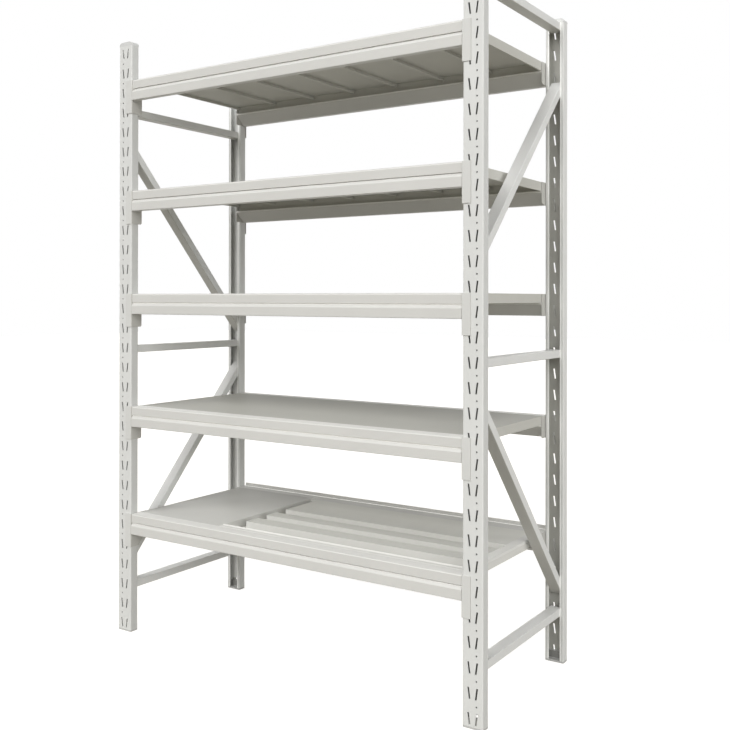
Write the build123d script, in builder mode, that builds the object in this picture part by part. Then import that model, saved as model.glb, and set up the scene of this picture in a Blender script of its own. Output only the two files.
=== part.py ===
from build123d import *
from math import atan, cos, hypot, radians, sin
import os

# Five tier seedling rack in folded sheet steel, put together without bolts.
# Two welded side frames stand on plastic feet. Ten stepped beams hang between them by
# leaning hooks that drop into leaning slots, and loose deck panels lie on the beams.
#
# Frame: origin on the floor in the middle of the footprint, X across the width,
# -Y to the front, +Z up. All lengths are in millimetres.
# The master of each corner piece is the front right one. The others are its mirror images.

# Rack
rack_height = 1800.0
rack_depth = 518.0  # over the webs of the posts
beam_span = 1141.0  # clear width between the posts
tier_top_shares = (0.9335, 0.7461, 0.5718, 0.3814, 0.1998)  # of the height, tier 1 on top

# Posts: lipped channels with the web turned outward
post_face = 55.0
post_depth = 28.0
post_wall = 2.0
post_corner = 3.5
post_lip = 11.0

# Punching of the post webs
slot_pitch = 60.0
slot_height = 28.0
slot_width = 4.5
slot_lean = 4.0  # how far the top of a slot stands aside from its bottom
slot_spacing = 20.0  # between the middles of the two columns
slot_first = 24.0  # middle of the lowest slot above the floor
slot_land = 6.0  # least metal between a slot and the end of the post
round_hole = 5.0
hole_sides = 5  # the small round holes are cut with few sides, because there are so many

# Plastic feet and top caps
foot_plate = 5.0
cap_head = 12.0
cap_crown = 11.0
crown_facets = 3  # of each shoulder of a cap
plug_height = 20.0
plug_gap = 0.3

# Struts and diagonals of the side frames: rectangular tubes as wide as the post mouths
brace_height = 22.0
brace_wall = 1.5
brace_corner = 1.0
brace_entry = 15.0  # how far the cut ends stand inside the mouth of a post
brace_setback = 0.7  # from the cut ends to the plug of a cap
strut_left_shares = {"low": 0.0767, "mid": 0.4778, "high": 0.8811}  # of the height
strut_right_shares = {"low": 0.0778, "mid": 0.4789}  # the high one is flush with the posts
diagonal_left_shares = {"lower": (0.1233, 0.4311), "upper": (0.8222, 0.5117)}  # front, back
diagonal_right_shares = {"lower": (0.4294, 0.1150), "upper": (0.6172, 0.8933)}

# Beam brackets
bracket_wall = 2.0
bracket_gap = 0.25  # between a bracket and its post
bracket_edge = 6.5  # metal above and below the two slots that a bracket spans
bracket_face = 22.0
bracket_side = 41.0  # the back brackets reach over the whole end of their beam
bracket_bend = 1.5
bracket_corner = 4.0
gusset_side = 62.0  # the brackets of the lowest tier are deeper at the beam
gusset_toe = 30.0
hook_wall = 2.0
hook_neck = 18.0
hook_tongue = 8.0
hook_web_gap = 0.5
hook_thickness = 3.0  # of the tongue, front to back
hook_nose = 2.5
hook_seat = 0.2
hook_lift = 9.0  # lifts a hook clear of its slot

# Stepped beams
beam_height = 62.0
beam_wall = 1.5
beam_top_depth = 38.0
ledge_width = 14.0
band_step = 3.0
groove_drop = 26.5
groove_width = 2.0
groove_depth = 3.0
step_height = 8.0
beam_edge = 1.2
beam_foot = 18.0
ledge_edge = 5.0  # height of the lip under the ledge

# Deck panels and the slatted deck
sheet = 1.0
panel_height = 25.0
panel_count = 7
flat_count = 2
panel_gap = 0.5
panel_side = 10.0  # height of the side flanges between the panels
panel_lip = 6.0
panel_foot = 12.0  # width of the lips that lie on the ledges
deck_gap = 1.0  # from the deck to the beams
deck_end_gap = 1.25  # from the deck to the brackets
front_rail = 19.0
back_rail = 13.0
end_rail = 28.0
bearer_width = 44.0
bearer_flange = 2.0
bearer_drop = 12.0
bearer_body = 30.0
bearer_gap = 1.5
slat_overhang = 29.0  # from the left edge of the bearer to the ends of the slats
slat_lip = 8.0
slat_depth_shares = ((0.158, 0.284), (0.381, 0.495), (0.602, 1.0))  # from rail to rail

cut_over = 1.0  # cuts run past the faces by this

# Worked out from the sizes above
post_x = beam_span / 2 + post_face / 2
post_y = -(rack_depth - post_depth) / 2
post_bottom = foot_plate
post_top = rack_height - cap_head
post_throat = post_face - 2 * post_lip
post_mouth = rack_depth / 2 - post_depth  # |Y| of the lips
slot_rows = int((post_top - slot_land - slot_height / 2 - slot_first) // slot_pitch) + 1
slot_slope = slot_lean / slot_height
slot_angle = atan(slot_slope)
brace_end = post_mouth + brace_entry
plug_depth = rack_depth / 2 - post_wall - plug_gap - brace_end - brace_setback
beam_outer = rack_depth / 2 + bracket_gap + bracket_wall
beam_end = beam_span / 2 - bracket_gap - bracket_wall
bracket_height = slot_pitch + slot_height + 2 * bracket_edge
ledge_front = beam_outer - beam_top_depth  # |Y| of the step behind the beam tops
deck_half_depth = ledge_front - deck_gap
deck_half_width = beam_end - deck_end_gap
panel_width = (2 * deck_half_width - (panel_count - 1) * panel_gap) / panel_count
panel_pitch = panel_width + panel_gap
tier_tops = [share * rack_height for share in tier_top_shares]
corners = (("fl", -1, -1), ("fr", 1, -1), ("bl", -1, 1), ("br", 1, 1))

os.makedirs("parts", exist_ok=True)


def write(part, label):
    """Label a finished piece and write it out."""
    part.label = label
    export_step(part, f"parts/{label}.step")


def write_corners(master, stem):
    """Write the front right master and its mirror images at the other corners."""
    for tag, side, end in corners:
        with BuildPart() as piece:
            add(master)
            if side < 0:
                mirror(about=Plane.YZ, mode=Mode.REPLACE)
            if end > 0:
                mirror(about=Plane.XZ, mode=Mode.REPLACE)
        write(piece.part, f"{stem}_{tag}")


# Posts. The two slot columns lean apart towards the top, and the round holes are
# punched in the outer column, half way between the slots.
with BuildPart() as upright:
    with BuildSketch(Plane.XY.offset(post_bottom)):
        with Locations((post_x, post_y)):
            RectangleRounded(post_face, post_depth, post_corner)
            Rectangle(post_face - 2 * post_wall, post_depth - 2 * post_wall, mode=Mode.SUBTRACT)
        with Locations((post_x, -post_mouth - post_wall / 2)):
            Rectangle(post_throat, post_wall + cut_over, mode=Mode.SUBTRACT)
    extrude(amount=post_top - post_bottom)
    with BuildSketch(Plane.XZ.offset(rack_depth / 2 + cut_over)):
        for column in (-1, 1):
            column_x = post_x + column * slot_spacing / 2
            lean = column * slot_lean / 2
            with Locations([(column_x, slot_first + row * slot_pitch) for row in range(slot_rows)]):
                Polygon(
                    (-slot_width / 2 - lean, -slot_height / 2),
                    (slot_width / 2 - lean, -slot_height / 2),
                    (slot_width / 2 + lean, slot_height / 2),
                    (-slot_width / 2 + lean, slot_height / 2),
                )
        hole_x = post_x + slot_spacing / 2
        with Locations([(hole_x, slot_first + (row + 0.5) * slot_pitch) for row in range(slot_rows - 1)]):
            RegularPolygon(round_hole / 2, hole_sides)
    extrude(amount=-post_wall - 2 * cut_over, mode=Mode.SUBTRACT)
write_corners(upright.part, "upright")

# Feet: a base plate under the end of the post and a plug up inside it.
plug_face = post_face - 2 * (post_wall + plug_gap)
plug_y = -rack_depth / 2 + post_wall + plug_gap + plug_depth / 2
with BuildPart() as foot:
    with BuildSketch():
        with Locations((post_x, post_y)):
            RectangleRounded(post_face, post_depth, post_corner)
    extrude(amount=foot_plate)
    with BuildSketch(Plane.XY.offset(foot_plate)):
        with Locations((post_x, plug_y)):
            Rectangle(plug_face, plug_depth)
    extrude(amount=plug_height)
write_corners(foot.part, "foot")

# Top caps: a head with round shoulders on the end of the post and a plug down inside it.
left_shoulder, right_shoulder = [], []
for step in range(crown_facets + 1):
    turn = radians(90 * step / crown_facets)
    reach = post_face / 2 - cap_crown * (1 - cos(turn))
    rise = cap_head - cap_crown * (1 - sin(turn))
    left_shoulder.append((post_x - reach, post_top + rise))
    right_shoulder.insert(0, (post_x + reach, post_top + rise))
with BuildPart() as cap:
    with BuildSketch(Plane.XZ.offset(rack_depth / 2 - post_depth)):
        with BuildLine():
            Polyline(
                (post_x + post_face / 2, post_top),
                (post_x - post_face / 2, post_top),
                *left_shoulder,
                *right_shoulder,
                close=True,
            )
        make_face()
    extrude(amount=post_depth)
    with BuildSketch(Plane.XY.offset(post_top - plug_height)):
        with Locations((post_x, plug_y)):
            Rectangle(plug_face, plug_depth)
    extrude(amount=plug_height)
write_corners(cap.part, "top_cap")


# Side frames. Each brace is a length of tube whose ends are cut upright inside the
# mouths of the two posts, where the welds are.
def make_brace(side, front_height, back_height):
    """A brace between the two posts of one side, from its middle height at each post."""
    run = 2 * -post_y
    rise = back_height - front_height
    middle = (side * post_x, 0, (front_height + back_height) / 2)
    reach = hypot(run, rise) / 2 + brace_height * hypot(run, rise) / run
    along = Plane(origin=middle, x_dir=(-1, 0, 0), z_dir=(0, run, rise))
    with BuildPart() as brace:
        with BuildSketch(along):
            outside = Rectangle(post_throat, brace_height)
            chamfer(outside.vertices(), brace_corner)
            Rectangle(post_throat - 2 * brace_wall, brace_height - 2 * brace_wall, mode=Mode.SUBTRACT)
        extrude(amount=reach, both=True)
        with Locations(middle):
            Box(post_face, 2 * brace_end, rack_height, mode=Mode.INTERSECT)
    return brace.part


for level, share in strut_left_shares.items():
    write(make_brace(-1, share * rack_height, share * rack_height), f"strut_left_{level}")
for level, share in strut_right_shares.items():
    write(make_brace(1, share * rack_height, share * rack_height), f"strut_right_{level}")
flush_height = post_top - brace_height / 2
write(make_brace(1, flush_height, flush_height), "strut_right_high")
for level, (front, back) in diagonal_left_shares.items():
    write(make_brace(-1, front * rack_height, back * rack_height), f"diagonal_left_{level}")
for level, (front, back) in diagonal_right_shares.items():
    write(make_brace(1, front * rack_height, back * rack_height), f"diagonal_right_{level}")

# Stepped beam, drawn with its top at zero height. The front has a recessed upper band,
# a groove, a sloping step and a proud lower band. The deck lies on the ledge behind, and
# below the ledge the back slopes in to a narrow foot.
with BuildPart() as beam:
    with BuildSketch(Plane.YZ) as section:
        with BuildLine():
            band = -beam_outer + band_step
            groove_floor = band + groove_depth
            groove_foot = -groove_drop - groove_width
            Polyline(
                (band, 0),
                (band, -groove_drop),
                (groove_floor, -groove_drop),
                (groove_floor, groove_foot),
                (-beam_outer, groove_foot - step_height),
                (-beam_outer, -beam_height),
                (-beam_outer + beam_foot, -beam_height),
                (-ledge_front + ledge_width, -panel_height - ledge_edge),
                (-ledge_front + ledge_width, -panel_height),
                (-ledge_front, -panel_height),
                (-ledge_front, 0),
                close=True,
            )
        make_face()
        offset(amount=-beam_wall, kind=Kind.INTERSECTION, mode=Mode.SUBTRACT)
    extrude(amount=beam_end, both=True)
    top_edges = beam.faces().sort_by(Axis.Z)[-1].edges().filter_by(Axis.X)
    foot_edges = beam.faces().sort_by(Axis.Z)[0].edges().filter_by(Axis.X)
    chamfer(top_edges.sort_by(Axis.Y)[0], beam_edge)
    chamfer(foot_edges.sort_by(Axis.Y)[0], beam_edge)

for tier, top in enumerate(tier_tops, start=1):
    with BuildPart() as beam_front:
        with Locations((0, 0, top)):
            add(beam.part)
    write(beam_front.part, f"beam_front_{tier}")
    with BuildPart() as beam_back:
        add(beam_front.part)
        mirror(about=Plane.XZ, mode=Mode.REPLACE)
    write(beam_back.part, f"beam_back_{tier}")


# Brackets: a folded angle on the end of each beam. Its face lies on the web of the post
# and carries one hook, which leans with the slot that it drops into.
def make_brackets(top, shape):
    """The left and right brackets, drawn at the front, of a beam whose top is at this height.

    The side leg is a plain one, a gusset for the lowest tier, or just covers the beam.
    """
    bottom = top - bracket_height
    if shape == "gusset":
        side_depth = gusset_side
        foot = [(-beam_outer, bottom), (-beam_outer + gusset_toe, bottom)]
        foot += [(-beam_outer + side_depth, top - beam_height)]
    elif shape == "plain":
        side_depth = bracket_side
        foot = [(-beam_outer, bottom), (-beam_outer + side_depth, bottom)]
    else:
        side_depth = beam_top_depth + ledge_width
        foot = [(-beam_outer, top - beam_height), (-beam_outer + side_depth, top - beam_height)]
    row = round((top - bracket_height / 2 - slot_first) / slot_pitch)
    slot_x = post_x - slot_spacing / 2
    slot_z = slot_first + row * slot_pitch
    with BuildPart() as bracket:
        with BuildSketch(Plane.YZ.offset(beam_end)) as side_leg:
            with BuildLine():
                Polyline((-beam_outer, top), *foot, (-beam_outer + side_depth, top), close=True)
            make_face()
            chamfer(side_leg.vertices().group_by(Axis.X)[-1].sort_by(Axis.Y)[0], bracket_corner)
        extrude(amount=bracket_wall)
        with BuildSketch(Plane.XZ.offset(beam_outer)):
            with Locations((beam_end, bottom)):
                Rectangle(
                    bracket_wall + bracket_gap + bracket_face,
                    bracket_height,
                    align=(Align.MIN, Align.MIN),
                )
        extrude(amount=-bracket_wall)
        bend = bracket.edges().filter_by(Axis.Z).group_by(Axis.Y)[0].sort_by(Axis.X)[0]
        chamfer(bend, bracket_bend)
        # The hook is set over by half of what the lean takes up while it is lifted.
        start = (slot_x - slot_slope * hook_lift / 2, -rack_depth / 2, slot_z)
        leaning = Plane(origin=start, x_dir=(0, 1, 0), z_dir=(cos(slot_angle), 0, sin(slot_angle)))
        foot_edge = (-slot_height / 2 + hook_seat + hook_wall / 2 * sin(slot_angle)) / cos(slot_angle)
        root = -bracket_gap - bracket_wall / 2
        tongue_front = post_wall + hook_web_gap
        tongue_back = tongue_front + hook_thickness
        with BuildSketch(leaning):
            with BuildLine():
                Polyline(
                    (root, foot_edge),
                    (tongue_front, foot_edge),
                    (tongue_front, foot_edge - hook_tongue),
                    (tongue_back - hook_nose, foot_edge - hook_tongue),
                    (tongue_back, foot_edge - hook_tongue + hook_nose),
                    (tongue_back, foot_edge + hook_neck - hook_nose),
                    (tongue_back - hook_nose, foot_edge + hook_neck),
                    (root, foot_edge + hook_neck),
                    close=True,
                )
            make_face()
        extrude(amount=hook_wall / 2, both=True)
    with BuildPart() as pair:
        add(bracket.part)
        mirror(about=Plane.YZ)
    return pair.part


for tier, top in enumerate(tier_tops, start=1):
    write(make_brackets(top, "gusset" if tier == len(tier_tops) else "plain"), f"brackets_front_{tier}")
    with BuildPart() as brackets_back:
        add(make_brackets(top, "covering"))
        mirror(about=Plane.XZ, mode=Mode.REPLACE)
    write(brackets_back.part, f"brackets_back_{tier}")

# Deck panels, drawn with the top at zero height: shallow trays with the mouth down. The
# flanges at the front and back stand on the ledges of the beams. Low flanges with return
# lips stiffen the sides, and the last panel on the right has a full height one.
def make_panel(right_side):
    """A panel whose right side flange has this height."""
    with BuildPart() as panel:
        with BuildSketch(Plane.XZ):
            with Locations((0, -sheet / 2)):
                Rectangle(panel_width, sheet)
            for side, height in ((-1, panel_side), (1, right_side)):
                with Locations((side * (panel_width - sheet) / 2, -height / 2)):
                    Rectangle(sheet, height)
                with Locations((side * (panel_width - panel_lip) / 2, -height + sheet / 2)):
                    Rectangle(panel_lip, sheet)
        extrude(amount=deck_half_depth, both=True)
        with BuildSketch(Plane.YZ.offset(-panel_width / 2)):
            with Locations((-deck_half_depth + sheet / 2, -panel_height / 2)):
                Rectangle(sheet, panel_height)
            with Locations((-deck_half_depth + panel_foot / 2, -panel_height + sheet / 2)):
                Rectangle(panel_foot, sheet)
        front_flange = extrude(amount=panel_width)
        mirror(front_flange, about=Plane.XZ)
    return panel.part


panel = make_panel(panel_side)
last_panel = make_panel(panel_height)
panel_places = [-deck_half_width + panel_width / 2 + i * panel_pitch for i in range(panel_count)]
for tier, top in enumerate(tier_tops[:-1], start=1):
    with BuildPart() as deck:
        with Locations([(x, 0, top) for x in panel_places[:-1]]):
            add(panel)
        with Locations((panel_places[-1], 0, top)):
            add(last_panel)
    write(deck.part, f"deck_{tier}")
lowest_top = tier_tops[-1]
with BuildPart() as flat_panels:
    with Locations([(x, 0, lowest_top) for x in panel_places[:flat_count]]):
        add(panel)
write(flat_panels.part, "flat_panels_5")

# Slatted deck on the right of the lowest tier: three rails and a lower cross bearer.
deck_floor = lowest_top - panel_height
slat_left = -deck_half_width + flat_count * panel_pitch
slat_right = deck_half_width
slat_middle = (slat_left + slat_right) / 2
with BuildPart() as slat_frame:
    with BuildSketch(Plane.XY.offset(deck_floor)) as rails:
        with Locations((slat_middle, -deck_half_depth + front_rail / 2)):
            Rectangle(slat_right - slat_left, front_rail)
        with Locations((slat_middle, deck_half_depth - back_rail / 2)):
            Rectangle(slat_right - slat_left, back_rail)
        with Locations((slat_right - end_rail / 2, 0)):
            Rectangle(end_rail, 2 * deck_half_depth)
    extrude(amount=panel_height)
    with BuildSketch(Plane.XY.offset(deck_floor)):
        add(rails.sketch)
        offset(amount=-sheet, kind=Kind.INTERSECTION, mode=Mode.REPLACE)
    extrude(amount=panel_height - sheet, mode=Mode.SUBTRACT)
    with BuildSketch(Plane.XY.offset(deck_floor)):
        with Locations((slat_left + bearer_width / 2, 0)):
            Rectangle(bearer_width, 2 * deck_half_depth)
    extrude(amount=bearer_flange)
    with BuildSketch(Plane.XY.offset(deck_floor)):
        with Locations((slat_left + bearer_width / 2, 0)):
            Rectangle(bearer_body, 2 * (ledge_front - ledge_width - bearer_gap))
            Rectangle(bearer_body - 2 * sheet, 2 * (ledge_front - ledge_width - bearer_gap - sheet),
                      mode=Mode.SUBTRACT)
    extrude(amount=-bearer_drop)
write(slat_frame.part, "slat_frame")

# Slats: folded channels with the mouth down. They rest on the bearer and butt against
# the end rail.
slat_start = slat_left + slat_overhang
slat_height = panel_height - bearer_flange
slat_room = 2 * deck_half_depth - front_rail - back_rail
with BuildPart() as slats:
    for front_share, back_share in slat_depth_shares:
        front_edge = -deck_half_depth + front_rail + slat_room * front_share
        back_edge = -deck_half_depth + front_rail + slat_room * back_share
        slat_depth = back_edge - front_edge
        with BuildSketch(Plane.YZ.offset(slat_start)):
            with Locations(((front_edge + back_edge) / 2, lowest_top - slat_height / 2)):
                Rectangle(slat_depth, slat_height)
                Rectangle(slat_depth - 2 * sheet, slat_height - 2 * sheet, mode=Mode.SUBTRACT)
            with Locations(((front_edge + back_edge) / 2, lowest_top - slat_height + sheet / 2)):
                Rectangle(slat_depth - 2 * slat_lip, sheet + cut_over, mode=Mode.SUBTRACT)
        extrude(amount=slat_right - end_rail - slat_start)
write(slats.part, "slats")
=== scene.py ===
# %% [markdown]
# # A boltless steel seedling rack
#
# This lesson dresses a rack of folded steel sheet in light grey powder coat. The shapes
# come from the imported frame, so what is left to do is what a photographer and a paint
# shop would do: place the camera, put up soft lights, and mix finishes that stay
# believable when the eye comes close.

import math

import bmesh
import bpy
from mathutils import Euler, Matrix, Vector


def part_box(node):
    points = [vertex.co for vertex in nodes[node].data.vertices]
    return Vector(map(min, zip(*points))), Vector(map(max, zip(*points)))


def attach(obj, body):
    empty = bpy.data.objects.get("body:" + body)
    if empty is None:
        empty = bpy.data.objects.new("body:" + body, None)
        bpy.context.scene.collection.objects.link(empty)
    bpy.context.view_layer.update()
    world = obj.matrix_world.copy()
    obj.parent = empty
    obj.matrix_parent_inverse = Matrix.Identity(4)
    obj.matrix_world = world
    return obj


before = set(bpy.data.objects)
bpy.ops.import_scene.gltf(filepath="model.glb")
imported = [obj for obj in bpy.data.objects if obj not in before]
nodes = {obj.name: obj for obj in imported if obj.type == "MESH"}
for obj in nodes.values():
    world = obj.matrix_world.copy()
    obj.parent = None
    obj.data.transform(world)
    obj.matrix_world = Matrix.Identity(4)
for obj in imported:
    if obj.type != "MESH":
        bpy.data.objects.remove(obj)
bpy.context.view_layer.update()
scene = bpy.context.scene

# %% [markdown]
# ## The camera
#
# The photograph was taken from the right of the rack, a little over a metre above the
# floor, with the camera held almost level. A level camera keeps the posts upright in the
# picture, and the framing is then done by shifting the lens instead of tilting it.
# That is how furniture is usually photographed, so the same is done here.

# %% Place the camera
RACK_MIDDLE = Vector((0.0, 0.0, 0.9))
CAMERA_PLACE = Vector((1.6201, -2.2151, 1.0146))
CAMERA_YAW = 33.07
CAMERA_PITCH = 0.18
CAMERA_ROLL = -0.08
LENS = 45.9
SENSOR_WIDTH = 36.0
LENS_SHIFT = (-0.0256, -0.0945)
LEVEL_VIEW = 90.0  # a camera without a tilt looks straight down
NEAREST_SEEN = 0.05
FARTHEST_SEEN = 60.0

camera_data = bpy.data.cameras.new("rack_camera")
camera_data.lens = LENS
camera_data.sensor_width = SENSOR_WIDTH
camera_data.shift_x, camera_data.shift_y = LENS_SHIFT
camera_data.clip_start = NEAREST_SEEN
camera_data.clip_end = FARTHEST_SEEN
camera_data.dof.use_dof = False
camera = bpy.data.objects.new("rack_camera", camera_data)
scene.collection.objects.link(camera)
camera.location = CAMERA_PLACE
camera.rotation_euler = Euler(
    (math.radians(LEVEL_VIEW + CAMERA_PITCH), math.radians(CAMERA_ROLL), math.radians(CAMERA_YAW))
)
scene.camera = camera
print("camera stands", round((CAMERA_PLACE - RACK_MIDDLE).length, 2), "m from the middle of the rack")

# %% [markdown]
# ## Soft studio light
#
# Light grey sheet steel only shows its folds when each face gets its own tone. The faces
# that look at the camera are the brightest, the side frames are a step darker, and the
# undersides fall away to a warm grey. The front, right and side lamps stand very far off, so
# the highest and the lowest tier get the same light, and each is seen under a wide angle, so
# its shadows stay soft. A nearby lamp would light the top of the rack more than its foot.
# Two area lamps are added to them. One stands at the right, lower than the high decks, and
# picks out the flanges under them. The other hangs overhead. Two weak and low lamps, at the
# left and behind, keep the sides that this camera doesn't see from going dark.

# %% Put up the lamps
FAR_AWAY = 8.0
FAR_SPREAD = 40.0
FRONT_TINT = (1.0, 0.997, 0.99)
SIDE_TINT = (1.0, 1.0, 0.995)
PLAIN_TINT = (1.0, 1.0, 1.0)


def hang(name, data, place):
    """Put a lamp at a place and turn it to the middle of the rack."""
    lamp = bpy.data.objects.new(name, data)
    scene.collection.objects.link(lamp)
    lamp.location = place
    lamp.rotation_euler = (RACK_MIDDLE - Vector(place)).to_track_quat("-Z", "Y").to_euler()
    print(name, "stands", round((RACK_MIDDLE - Vector(place)).length, 2), "m away")


def far_softbox(name, azimuth, height, strength, tint=SIDE_TINT):
    """A lamp so far off that it lights every tier alike. Azimuth and height are in degrees."""
    data = bpy.data.lights.new(name, "SUN")
    data.angle = math.radians(FAR_SPREAD)
    data.energy = strength
    data.color = tint
    around, up = math.radians(azimuth), math.radians(height)
    away = Vector((math.sin(around) * math.cos(up), -math.cos(around) * math.cos(up), math.sin(up)))
    hang(name, data, RACK_MIDDLE + FAR_AWAY * away)


def softbox(name, place, width, height, power, tint=SIDE_TINT):
    """An area lamp of the given size."""
    data = bpy.data.lights.new(name, "AREA")
    data.shape = "RECTANGLE"
    data.size = width
    data.size_y = height
    data.energy = power
    data.color = tint
    hang(name, data, place)


far_softbox("front_light", azimuth=-15.0, height=37.0, strength=1.80, tint=FRONT_TINT)
far_softbox("right_light", azimuth=40.0, height=25.0, strength=1.00)
far_softbox("side_light", azimuth=84.0, height=8.0, strength=0.68)
far_softbox("left_light", azimuth=-98.0, height=7.0, strength=0.90)
far_softbox("back_light", azimuth=184.0, height=5.0, strength=0.95)
softbox("side_softbox", place=(4.6, -1.2, 1.3), width=2.4, height=2.6, power=36.0)
softbox("overhead_softbox", place=(0.3, -0.6, 4.6), width=3.0, height=2.4, power=30.0, tint=PLAIN_TINT)

# %% [markdown]
# ## Shader helpers
#
# Every shader below is a small graph of nodes. A few helpers keep the making of a graph
# short. Each takes sockets and plain values alike, so a shader reads like a formula.

# %% Make the shader helpers
MIX_FACTOR, MIX_FIRST, MIX_SECOND, MIX_RESULT = 0, 6, 7, 2  # the colour sockets of a Mix node
NOISE_LOW, NOISE_HIGH = 0.3, 0.7  # most values of a noise lie between these


def feed(tree, socket, value):
    """Give an input socket a value: a link from another socket, or a plain value."""
    if isinstance(value, bpy.types.NodeSocket):
        tree.links.new(value, socket)
    else:
        socket.default_value = value


def math_node(tree, operation, first, second=0.0):
    """A math node."""
    node = tree.nodes.new("ShaderNodeMath")
    node.operation = operation
    feed(tree, node.inputs[0], first)
    feed(tree, node.inputs[1], second)
    return node.outputs[0]


def vector_node(tree, operation, first, second=(0.0, 0.0, 0.0)):
    """The outputs of a vector math node."""
    node = tree.nodes.new("ShaderNodeVectorMath")
    node.operation = operation
    feed(tree, node.inputs[0], first)
    feed(tree, node.inputs[1], second)
    return node.outputs


def map_range(tree, value, low, high, to_low, to_high):
    """A clamped map from one range to another."""
    node = tree.nodes.new("ShaderNodeMapRange")
    for label, given in (("Value", value), ("From Min", low), ("From Max", high),
                         ("To Min", to_low), ("To Max", to_high)):
        feed(tree, node.inputs[label], given)
    return node.outputs["Result"]


def mix_colour(tree, factor, first, second, blend="MIX"):
    """A colour mix."""
    node = tree.nodes.new("ShaderNodeMix")
    node.data_type = "RGBA"
    node.blend_type = blend
    feed(tree, node.inputs[MIX_FACTOR], factor)
    feed(tree, node.inputs[MIX_FIRST], first)
    feed(tree, node.inputs[MIX_SECOND], second)
    return node.outputs[MIX_RESULT]


def noise(tree, vector, scale, detail, roughness=0.5):
    """A noise texture read at a vector."""
    node = tree.nodes.new("ShaderNodeTexNoise")
    for label, given in (("Vector", vector), ("Scale", scale), ("Detail", detail), ("Roughness", roughness)):
        feed(tree, node.inputs[label], given)
    return node.outputs["Fac"]


def stretch(tree, value, low, high):
    """A noise value spread over a range."""
    return map_range(tree, value, NOISE_LOW, NOISE_HIGH, low, high)


def seen_directly(tree):
    """A value that is 1 for camera, glossy and transmission rays and 0 for diffuse ones."""
    path = tree.nodes.new("ShaderNodeLightPath").outputs
    seen = math_node(tree, "MAXIMUM", path["Is Camera Ray"], path["Is Glossy Ray"])
    return math_node(tree, "MAXIMUM", seen, path["Is Transmission Ray"])


print("shader helpers ready")

# %% [markdown]
# ## World and floor
#
# The product picture has a plain white ground. The world and the floor show white to the
# camera and to reflections, but the light that they give to the rack is only a weak grey.
# The Light Path node tells the two apart. The floor is still a real surface, so the feet
# keep their soft shadows.

# %% Make the world
FILL_LIGHT = 0.10
FILL_TINT = (1.0, 0.985, 0.955, 1.0)
WHITE = (1.0, 1.0, 1.0, 1.0)

world = bpy.data.worlds.new("white_studio")
scene.world = world
world.use_nodes = True
tree = world.node_tree
tree.nodes.clear()
shown = tree.nodes.new("ShaderNodeBackground")
shown.inputs["Color"].default_value = WHITE
fill = tree.nodes.new("ShaderNodeBackground")
fill.inputs["Color"].default_value = FILL_TINT
fill.inputs["Strength"].default_value = FILL_LIGHT
world_mix = tree.nodes.new("ShaderNodeMixShader")
tree.links.new(seen_directly(tree), world_mix.inputs[0])
tree.links.new(fill.outputs[0], world_mix.inputs[1])
tree.links.new(shown.outputs[0], world_mix.inputs[2])
world_out = tree.nodes.new("ShaderNodeOutputWorld")
tree.links.new(world_mix.outputs[0], world_out.inputs["Surface"])
print("fill light strength", FILL_LIGHT)

# %% Lay the floor
FLOOR_SIZE = 40.0
FLOOR_PAPER = (0.33, 0.31, 0.26, 1.0)
FLOOR_GLOW = 0.92
GLOW_NEAR = 1.2
GLOW_FAR = 3.5

half = FLOOR_SIZE / 2
floor_corners = [(-half, -half, 0.0), (half, -half, 0.0), (half, half, 0.0), (-half, half, 0.0)]
floor_mesh = bpy.data.meshes.new("floor")
floor_mesh.from_pydata(floor_corners, [], [(0, 1, 2, 3)])
floor = bpy.data.objects.new("floor", floor_mesh)
scene.collection.objects.link(floor)
floor_paint = bpy.data.materials.new("floor_paper")
floor_paint.use_nodes = True
tree = floor_paint.node_tree
tree.nodes.clear()
paper = tree.nodes.new("ShaderNodeBsdfDiffuse")
paper.inputs["Color"].default_value = FLOOR_PAPER
reach = vector_node(tree, "LENGTH", tree.nodes.new("ShaderNodeTexCoord").outputs["Object"])["Value"]
fade = map_range(tree, reach, GLOW_NEAR, GLOW_FAR, FLOOR_GLOW, 1.0)
glow = tree.nodes.new("ShaderNodeEmission")
glow.inputs["Color"].default_value = WHITE
tree.links.new(math_node(tree, "MULTIPLY", seen_directly(tree), fade), glow.inputs["Strength"])
floor_sum = tree.nodes.new("ShaderNodeAddShader")
tree.links.new(paper.outputs[0], floor_sum.inputs[0])
tree.links.new(glow.outputs[0], floor_sum.inputs[1])
floor_out = tree.nodes.new("ShaderNodeOutputMaterial")
tree.links.new(floor_sum.outputs[0], floor_out.inputs["Surface"])
floor_mesh.materials.append(floor_paint)
print("floor is", FLOOR_SIZE, "m wide")

# %% [markdown]
# ## Powder coat
#
# All the steel is sprayed with dry powder and baked. Such a finish is even in colour and has
# a fine orange peel that breaks up reflections. The lighter groove and folds of the beams are
# painted light, set further below. The coat is built once as a node group, so every steel
# piece shares it with its own colour and its own amount of peel. A photograph of paint would
# also work, but it would have to be unwrapped, and noise in object space needs no unwrapping
# at all.

# %% Build the powder coat group
CLOUD_SCALE = 5.0
GRAIN_SCALE = 1400.0
GRAIN_SHARE = 0.6
PEEL_SCALE = 520.0
PEEL_ROUGHNESS = 0.6
DULL_LOW, DULL_HIGH = 0.2, 0.8
DULL_CHANGE = 0.05
PLAIN_PAINT = (0.6, 0.6, 0.58, 1.0)


def new_group(name, inputs, outputs):
    """A shader node group with its sockets. Each input is (name, type, default)."""
    group = bpy.data.node_groups.new(name, "ShaderNodeTree")
    for label, kind, default in inputs:
        socket = group.interface.new_socket(name=label, in_out="INPUT", socket_type=kind)
        socket.default_value = default
    for label, kind in outputs:
        group.interface.new_socket(name=label, in_out="OUTPUT", socket_type=kind)
    return group, group.nodes.new("NodeGroupInput").outputs, group.nodes.new("NodeGroupOutput").inputs


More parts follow.
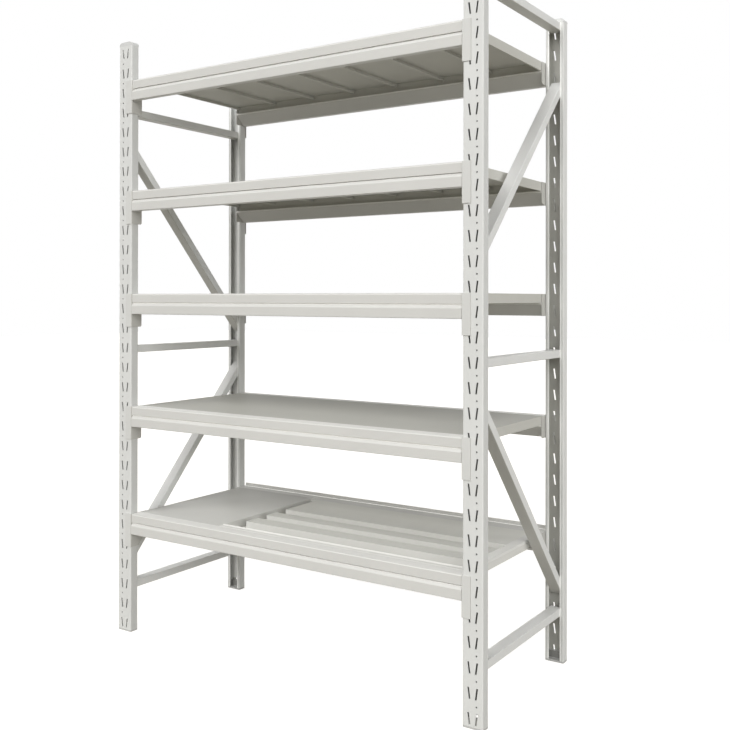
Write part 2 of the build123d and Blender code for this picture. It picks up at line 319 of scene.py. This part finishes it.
powder_group, given, result = new_group(
    "powder_coat",
    [("Paint", "NodeSocketColor", PLAIN_PAINT), ("Mottle", "NodeSocketFloat", 0.03),
     ("Peel", "NodeSocketFloat", 1.0), ("Gloss", "NodeSocketFloat", 0.5)],
    [("Colour", "NodeSocketColor"), ("Roughness", "NodeSocketFloat"), ("Height", "NodeSocketFloat")],
)
spots = powder_group.nodes.new("ShaderNodeTexCoord").outputs["Object"]
clouds = noise(powder_group, spots, CLOUD_SCALE, detail=3.0)
grains = noise(powder_group, spots, GRAIN_SCALE, detail=1.0)
peel = noise(powder_group, spots, PEEL_SCALE, detail=2.0, roughness=PEEL_ROUGHNESS)
shade = math_node(powder_group, "ADD", stretch(powder_group, clouds, -1.0, 1.0),
                  stretch(powder_group, grains, -GRAIN_SHARE, GRAIN_SHARE))
shade = math_node(powder_group, "MULTIPLY", shade, given["Mottle"])
shade = math_node(powder_group, "ADD", shade, 1.0)
shade_colour = powder_group.nodes.new("ShaderNodeCombineColor")
for label in ("Red", "Green", "Blue"):
    powder_group.links.new(shade, shade_colour.inputs[label])
tinted = mix_colour(powder_group, 1.0, given["Paint"], shade_colour.outputs[0], "MULTIPLY")
dull = map_range(powder_group, clouds, DULL_LOW, DULL_HIGH, -DULL_CHANGE, DULL_CHANGE)
powder_group.links.new(tinted, result["Colour"])
powder_group.links.new(math_node(powder_group, "ADD", given["Gloss"], dull), result["Roughness"])
powder_group.links.new(math_node(powder_group, "MULTIPLY", peel, given["Peel"]), result["Height"])
print("powder coat group has", len(powder_group.nodes), "nodes")

# %% [markdown]
# ## Where a piece gets another tone
#
# Small groups find places on a piece by its own measures, so no mesh is touched. Their masks
# are used to paint light and shade into the colour. One finds the faces that look up or down,
# which get painted shade or painted light. One finds the faces that look to the right, which
# get painted shade. One finds a level band on the upright faces, which serves for the painted
# light in the groove of the beams and on their upper fold. One finds the inside of a back
# post, which gets painted shade, and one the edges of its lips, which get a painted
# highlight. One is a ramp from the front of a piece to its back, which paints light toward
# the back of the slats. The last group tilts the normal upward, which makes a flat edge catch
# the light as a rounded fold does.

# %% Build the place groups
UPRIGHT_LIMIT = 0.8  # an upright face's normal rises or falls less than this
FRONT_LIMIT = -0.5  # the normal of a face that looks to the front is below this in Y
LIP_DEPTH = 0.3  # the lips lie in this front share of a back post


def axes(tree, vector):
    """The three parts of a vector."""
    node = tree.nodes.new("ShaderNodeSeparateXYZ")
    tree.links.new(vector, node.inputs[0])
    return node.outputs


def turned(tree):
    """The way a face looks, as three parts."""
    return axes(tree, tree.nodes.new("ShaderNodeNewGeometry").outputs["Normal"])


def share(tree):
    """The place on a piece, as shares of its own box."""
    return axes(tree, tree.nodes.new("ShaderNodeTexCoord").outputs["Generated"])


def between(tree, value, low, high):
    """1 where a value lies between two others."""
    return math_node(tree, "MULTIPLY", math_node(tree, "GREATER_THAN", value, low),
                     math_node(tree, "LESS_THAN", value, high))


def looks_front(tree):
    """1 on the faces that look to the front."""
    return math_node(tree, "LESS_THAN", turned(tree)["Y"], FRONT_LIMIT)


def faces_up(tree, given):
    """The faces that look up, or down with Side at -1."""
    rise = math_node(tree, "MULTIPLY", turned(tree)["Z"], given["Side"])
    return math_node(tree, "GREATER_THAN", rise, given["Least"])


def faces_right(tree, given):
    """The faces that look to the right."""
    return math_node(tree, "GREATER_THAN", turned(tree)["X"], given["Least"])


def level_band(tree, given):
    """A level band on the upright faces."""
    rise = math_node(tree, "ABSOLUTE", turned(tree)["Z"])
    upright = math_node(tree, "LESS_THAN", rise, UPRIGHT_LIMIT)
    return math_node(tree, "MULTIPLY", between(tree, share(tree)["Z"], given["Low"], given["High"]), upright)


def web_inside(tree, given):
    """The faces that look to the front and lie deeper in a piece than a share."""
    deep = math_node(tree, "GREATER_THAN", share(tree)["Y"], given["Depth"])
    return math_node(tree, "MULTIPLY", deep, looks_front(tree))


def lip_edge(tree, given):
    """Two upright bands on the lips, one at each side of the mouth."""
    place = share(tree)
    aside = math_node(tree, "ABSOLUTE", math_node(tree, "SUBTRACT", place["X"], 0.5))
    near = math_node(tree, "LESS_THAN", place["Y"], LIP_DEPTH)
    facing = math_node(tree, "MULTIPLY", near, looks_front(tree))
    return math_node(tree, "MULTIPLY", between(tree, aside, given["Low"], given["High"]), facing)


def toward_back(tree, given):
    """A ramp from 0 at the front to 1 at the back."""
    return map_range(tree, share(tree)["Y"], given["Low"], given["High"], 0.0, 1.0)


def mask_group(find, **inputs):
    """The node group that puts out the mask of one of the functions above."""
    sockets = [(label, "NodeSocketFloat", value) for label, value in inputs.items()]
    group, given, result = new_group(find.__name__, sockets, [("Mask", "NodeSocketFloat")])
    group.links.new(find(group, given), result["Mask"])
    return group


place_groups = {group.name: group for group in (
    mask_group(faces_up, Least=0.7, Side=1.0),
    mask_group(faces_right, Least=0.7),
    mask_group(level_band, Low=0.0, High=1.1),
    mask_group(web_inside, Depth=0.5),
    mask_group(lip_edge, Low=0.29, High=0.36),
    mask_group(toward_back, Low=0.45, High=0.8),
)}

tilt_group, given, result = new_group(
    "tilt_up", [("Amount", "NodeSocketFloat", 0.0)], [("Normal", "NodeSocketVector")]
)
lift = tilt_group.nodes.new("ShaderNodeCombineXYZ")
tilt_group.links.new(given["Amount"], lift.inputs["Z"])
normal = tilt_group.nodes.new("ShaderNodeNewGeometry").outputs["Normal"]
tilted = vector_node(tilt_group, "ADD", normal, lift.outputs[0])["Vector"]
tilt_group.links.new(vector_node(tilt_group, "NORMALIZE", tilted)["Vector"], result["Normal"])
print("place groups", sorted(place_groups), "and", tilt_group.name)

# %% [markdown]
# ## One finish per kind of piece
#
# The real rack leaves one spray line, so all its steel has one paint. Small differences in
# gloss still help the eye tell a rolled post from a flat deck sheet: the wide sheets are a
# little smoother and show stronger clouds of tone than the rolled sections. The paint colours
# of the kinds differ as painted light and shade: each kind is mixed lighter or darker for the
# light that falls on it, the rails lightest and the decks darkest.

# %% Mix the steel finishes
PEEL_HEIGHT = 0.0002
ROLLED = {"mottle": 0.02, "peel": 1.0, "gloss": 0.50, "bump": 0.35}
BEAM_STEEL = {"mottle": 0.02, "peel": 1.0, "gloss": 0.48, "bump": 0.30}
SHEET_STEEL = {"mottle": 0.03, "peel": 0.6, "gloss": 0.45, "bump": 0.15}


def steel_finish(name, paint, mottle, peel, gloss, bump, shine=0.5):
    """A painted steel material that uses the powder coat group."""
    material = bpy.data.materials.new(name)
    material.use_nodes = True
    tree = material.node_tree
    shader = tree.nodes["Principled BSDF"]
    coat = tree.nodes.new("ShaderNodeGroup")
    coat.node_tree = powder_group
    for label, value in (("Paint", (*paint, 1.0)), ("Mottle", mottle), ("Peel", peel), ("Gloss", gloss)):
        coat.inputs[label].default_value = value
    tree.links.new(coat.outputs["Colour"], shader.inputs["Base Color"])
    tree.links.new(coat.outputs["Roughness"], shader.inputs["Roughness"])
    relief = tree.nodes.new("ShaderNodeBump")
    relief.name = "relief"
    relief.inputs["Strength"].default_value = bump
    relief.inputs["Distance"].default_value = PEEL_HEIGHT
    tree.links.new(coat.outputs["Height"], relief.inputs["Height"])
    tree.links.new(relief.outputs["Normal"], shader.inputs["Normal"])
    shader.inputs["Specular IOR Level"].default_value = shine
    return material


# Lighter and darker copies of the one paint: painted light and shade for each kind of piece.
finishes = {
    "post": steel_finish("post_paint", (0.72, 0.725, 0.71), **ROLLED),
    "back_post": steel_finish("back_post_light_and_shade_paint", (0.71, 0.715, 0.70), **ROLLED),
    "brace": steel_finish("brace_paint", (0.74, 0.743, 0.73), **ROLLED),
    "beam": steel_finish("beam_paint", (0.66, 0.655, 0.63), **BEAM_STEEL),
    "bracket": steel_finish("bracket_paint", (0.67, 0.67, 0.65), **ROLLED),
    "stiffener": steel_finish("stiffener_shaded_paint", (0.72, 0.725, 0.71), **ROLLED),
    "deck": steel_finish("deck_paint", (0.63, 0.625, 0.585), shine=0.02, **SHEET_STEEL),
    "flat": steel_finish("flat_panel_paint", (0.67, 0.667, 0.638), shine=0.05, **SHEET_STEEL),
    "rail": steel_finish("rail_paint", (0.78, 0.775, 0.745), shine=0.10, **SHEET_STEEL),
    "slat": steel_finish("slat_paint", (0.70, 0.698, 0.67), shine=0.05, **SHEET_STEEL),
}
print("steel finishes", sorted(finishes))

# %% Mix the plastic finish
PLASTIC_CLOUDS = 40.0
PLASTIC_GRAIN = 2200.0
GRAIN_BUMP = 0.4
GRAIN_HEIGHT = 0.0001
DARK_CLOUDS = 0.93
GLOSS_CHANGE = 0.06


def plastic_finish(name, colour, gloss):
    """Moulded plastic: an even colour with a fine spark eroded grain."""
    material = bpy.data.materials.new(name)
    material.use_nodes = True
    tree = material.node_tree
    shader = tree.nodes["Principled BSDF"]
    spots = tree.nodes.new("ShaderNodeTexCoord").outputs["Object"]
    clouds = noise(tree, spots, PLASTIC_CLOUDS, detail=2.0)
    grain = noise(tree, spots, PLASTIC_GRAIN, detail=1.0)
    darker = tuple(DARK_CLOUDS * v for v in colour)
    tone = mix_colour(tree, stretch(tree, clouds, 0.0, 1.0), (*colour, 1.0), (*darker, 1.0))
    dull = stretch(tree, grain, gloss - GLOSS_CHANGE, gloss + GLOSS_CHANGE)
    relief = tree.nodes.new("ShaderNodeBump")
    relief.inputs["Strength"].default_value = GRAIN_BUMP
    relief.inputs["Distance"].default_value = GRAIN_HEIGHT
    tree.links.new(grain, relief.inputs["Height"])
    tree.links.new(tone, shader.inputs["Base Color"])
    tree.links.new(dull, shader.inputs["Roughness"])
    tree.links.new(relief.outputs["Normal"], shader.inputs["Normal"])
    return material


finishes["cap"] = plastic_finish("cap_plastic", (0.67, 0.675, 0.665), gloss=0.55)
finishes["foot"] = plastic_finish("foot_plastic", (0.55, 0.55, 0.54), gloss=0.6)
print("plastic finishes mixed")

# %% [markdown]
# ## Painted light and shade for the places
#
# Each row of the table below names a finish, the group that finds the place, the values
# that the group gets there, and the tone that the paint is multiplied by. The row for the
# foot makes it darker above its lowest quarter. In the other rows a tone below 1 is painted
# shade and a tone above 1 is painted light, such as in a groove that lies in its own shadow.
# The upper folds of the beams and the rail get a painted highlight, and they are also turned
# a little to the light.

# %% Set the tones
TONES = (
    # painted shade on the faces of the posts and brackets that look to the right
    ("post", "faces_right", {}, (0.89, 0.89, 0.89)),
    ("bracket", "faces_right", {}, (0.80, 0.79, 0.77)),
    # painted shade on the slat tops and painted light toward their back
    ("slat", "faces_up", {}, (0.90, 0.90, 0.88)),
    ("slat", "toward_back", {}, (1.32, 1.32, 1.32)),
    # painted shade on the deck tops
    ("deck", "faces_up", {}, (0.82, 0.82, 0.81)),
    # painted shade inside the back posts and a painted highlight on the edges of their lips
    ("back_post", "web_inside", {}, (0.72, 0.71, 0.67)),
    ("back_post", "lip_edge", {}, (1.5, 1.5, 1.5)),
    # painted shade, nearly black, on the side of the front stiffeners that faces the web
    ("stiffener", "web_inside", {}, (0.15, 0.15, 0.145)),
    # painted shade under the braces and painted light on their tops
    ("brace", "faces_up", {"Least": 0.3, "Side": -1.0}, (0.74, 0.73, 0.70)),
    ("brace", "faces_up", {"Least": 0.95}, (1.25, 1.25, 1.25)),
    # painted light in the groove of the beams and on their tops
    ("beam", "level_band", {"Low": 0.53, "High": 0.585}, (1.45, 1.45, 1.45)),
    ("beam", "faces_up", {"Least": 0.9}, (1.2, 1.2, 1.2)),
    ("foot", "level_band", {"Low": 0.25}, (0.5, 0.5, 0.48)),
)
LIT_FOLDS = (("rail", 0.82, 1.15), ("beam", 0.935, 1.2))  # finish, lower edge of the fold, tone of the painted highlight
FOLD_TILT = 0.8


def place_mask(material, group, **values):
    """The mask that a place group gives for a material."""
    node = material.node_tree.nodes.new("ShaderNodeGroup")
    node.node_tree = place_groups[group]
    for label, value in values.items():
        node.inputs[label].default_value = value
    return node.outputs["Mask"]


def retone(material, mask, tone):
    """Multiply the paint by a tone where the mask is 1."""
    tree = material.node_tree
    socket = tree.nodes["Principled BSDF"].inputs["Base Color"]
    tree.links.new(mix_colour(tree, mask, socket.links[0].from_socket, (*tone, 1.0), "MULTIPLY"), socket)


def round_edge(material, mask, amount):
    """Tilt the normal upward where the mask is 1."""
    tree = material.node_tree
    node = tree.nodes.new("ShaderNodeGroup")
    node.node_tree = tilt_group
    tree.links.new(math_node(tree, "MULTIPLY", mask, amount), node.inputs["Amount"])
    tree.links.new(node.outputs["Normal"], tree.nodes["relief"].inputs["Normal"])


for kind, group, values, tone in TONES:
    retone(finishes[kind], place_mask(finishes[kind], group, **values), tone)
# Each upper fold gets a painted highlight, and its normal is tilted upward as well.
for kind, low, tone in LIT_FOLDS:
    fold = place_mask(finishes[kind], "level_band", Low=low)
    retone(finishes[kind], fold, (tone, tone, tone))
    round_edge(finishes[kind], fold, FOLD_TILT)
print("set", len(TONES), "tones and", len(LIT_FOLDS), "lit folds")

# %% Paint every piece
KINDS = (
    ("upright_b", "back_post"), ("upright_f", "post"), ("strut", "brace"), ("diagonal", "brace"),
    ("beam", "beam"), ("brackets", "bracket"), ("deck", "deck"), ("flat_panels", "flat"),
    ("slat_frame", "rail"), ("slats", "slat"), ("top_cap", "cap"), ("foot", "foot"),
)
for name, node in nodes.items():
    kind = next(finish for stem, finish in KINDS if name.startswith(stem))
    node.data.materials.clear()
    node.data.materials.append(finishes[kind])
print("painted", len(nodes), "pieces")

# %% [markdown]
# ## Soft folds
#
# Sheet steel never folds to a knife edge. The bend has a radius of a millimetre or so, and
# that narrow round catches the light as a thin bright line, which is what makes a painted
# profile look like steel. A bevel modifier makes it without touching the mesh. The packed
# meshes are split along their edges, so they are welded first, or the bevel would find
# nothing to round.

# %% Round the folds
FOLDS = (("beam", 0.0010), ("brackets", 0.0006), ("strut", 0.0006), ("diagonal", 0.0006))
WELD_REACH = 0.00001
FOLD_SEGMENTS = 2
LEAST_FOLD = 25.0


def round_folds(node, radius):
    """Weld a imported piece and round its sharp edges."""
    weld = node.modifiers.new("weld", "WELD")
    weld.merge_threshold = WELD_REACH
    bevel = node.modifiers.new("folds", "BEVEL")
    bevel.width = radius
    bevel.segments = FOLD_SEGMENTS
    bevel.limit_method = "ANGLE"
    bevel.angle_limit = math.radians(LEAST_FOLD)
    bevel.harden_normals = True


rounded = 0
for name, node in nodes.items():
    radius = next((size for stem, size in FOLDS if name.startswith(stem)), 0.0)
    if radius:
        round_folds(node, radius)
        rounded += 1
print("rounded the folds of", rounded, "pieces")

# %% [markdown]
# ## Stiffeners behind the slots
#
# The slots of the two front posts look dark in the photograph, and none shows in the mouth
# of the back left post, although the back right post lets the white ground show through
# its own. So something stands close behind three of the webs. It is made here as a folded
# strip of steel inside each of those posts, behind the reach of the hooks. Little light
# gets through a slot, and the side of a front strip that faces the web is painted nearly
# black as painted shade, so that the slots look dark.

# %% Fold the stiffeners
STRIP_BEHIND = 0.0075
STRIP_WALL = 0.0008
STRIP_WIDTH = 0.047
STRIP_FLANGE = 0.0015
STRIP_ENDS = 0.028


def straight_piece(name, ends, finish):
    """A straight piece between two outlines with the same number of corners."""
    shape = bmesh.new()
    rows = [[shape.verts.new(corner) for corner in outline] for outline in ends]
    count = len(rows[0])
    for i in range(count):
        j = (i + 1) % count
        shape.faces.new((rows[0][i], rows[0][j], rows[1][j], rows[1][i]))
    shape.faces.new(rows[0][::-1])
    shape.faces.new(rows[1])
    bmesh.ops.recalc_face_normals(shape, faces=shape.faces)
    mesh = bpy.data.meshes.new(name)
    shape.to_mesh(mesh)
    shape.free()
    mesh.materials.append(finishes[finish])
    piece = bpy.data.objects.new(name, mesh)
    scene.collection.objects.link(piece)
    print(name, "has", len(mesh.polygons), "faces")
    return piece


def stiffener(name, post):
    """A strip with two low flanges, inside a post."""
    low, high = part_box(post)
    middle = (low[0] + high[0]) / 2
    inward = -1.0 if low[1] > 0 else 1.0
    web = high[1] if low[1] > 0 else low[1]
    edge, flange = STRIP_WIDTH / 2, STRIP_WIDTH / 2 - STRIP_WALL
    near, seat, far = STRIP_BEHIND - STRIP_FLANGE, STRIP_BEHIND, STRIP_BEHIND + STRIP_WALL
    profile = [(-edge, near), (-flange, near), (-flange, seat), (flange, seat), (flange, near), (edge, near),
               (edge, far), (-edge, far)]
    ends = [[(middle + x, web + inward * depth, height) for x, depth in profile]
            for height in (low[2] + STRIP_ENDS, high[2] - STRIP_ENDS)]
    piece = straight_piece(name, ends, "stiffener")
    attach(piece, "frame")


for corner in ("fl", "fr", "bl"):
    stiffener(f"slot_stiffener_{corner}", f"upright_{corner}")

# %% [markdown]
# ## Folded edges of the lowest tier
#
# The lowest tier has three narrow folds of its own. The last flat panel ends in the open,
# next to the slats, so its side is folded down as deep as its ends. The front rail of the
# slatted part has a hem along its inner edge, seen as a bright line. The back beam has a
# low stop along its outer edge, so that no tray slides off. Each of them is a straight
# strip with its own profile.

# %% Fold the strips of the lowest tier
def strip(name, profile, left, right, finish, body):
    """A straight strip along X. The profile lists its (Y, Z) corners."""
    piece = straight_piece(name, [[(x, y, z) for y, z in profile] for x in (left, right)], finish)
    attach(piece, body)


SHEET = 0.001
SHORT_SIDE = 0.010
low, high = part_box("flat_panels_5")
front, back, under, top = low[1] + SHEET, high[1] - SHEET, low[2], high[2] - SHORT_SIDE
strip("flat_panel_deep_side", [(front, under), (back, under), (back, top), (front, top)],
      high[0] - SHEET, high[0], "flat", "panels_5")

HEM = 0.003
HEM_SETBACK = 0.003
HEM_ENDS = 0.002
RAIL_WIDTH = 0.019
low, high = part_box("slat_frame")
inner = low[1] + RAIL_WIDTH - HEM_SETBACK
strip("slat_rail_hem", [(inner - HEM, high[2]), (inner, high[2]), (inner, high[2] + HEM)],
      low[0] + HEM_ENDS, high[0] - HEM_ENDS, "rail", "slatted_deck_5")

STOP_HEIGHT = 0.011
STOP_WALL = 0.0012
STOP_SETBACK = 0.0003
STOP_ENDS = 0.001
low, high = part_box("beam_back_5")
outer, inner = high[1] - STOP_SETBACK, high[1] - STOP_SETBACK - STOP_WALL
foot, head = high[2], high[2] + STOP_HEIGHT
strip("back_stop_5", [(inner, foot), (outer, foot), (outer, head), (inner, head)],
      low[0] + STOP_ENDS, high[0] - STOP_ENDS, "rail", "shelf_5")

# %% [markdown]
# ## Colour handling
#
# The Standard view keeps the paint at the tone it was mixed to.

# %% Finish
scene.view_settings.view_transform = "Standard"
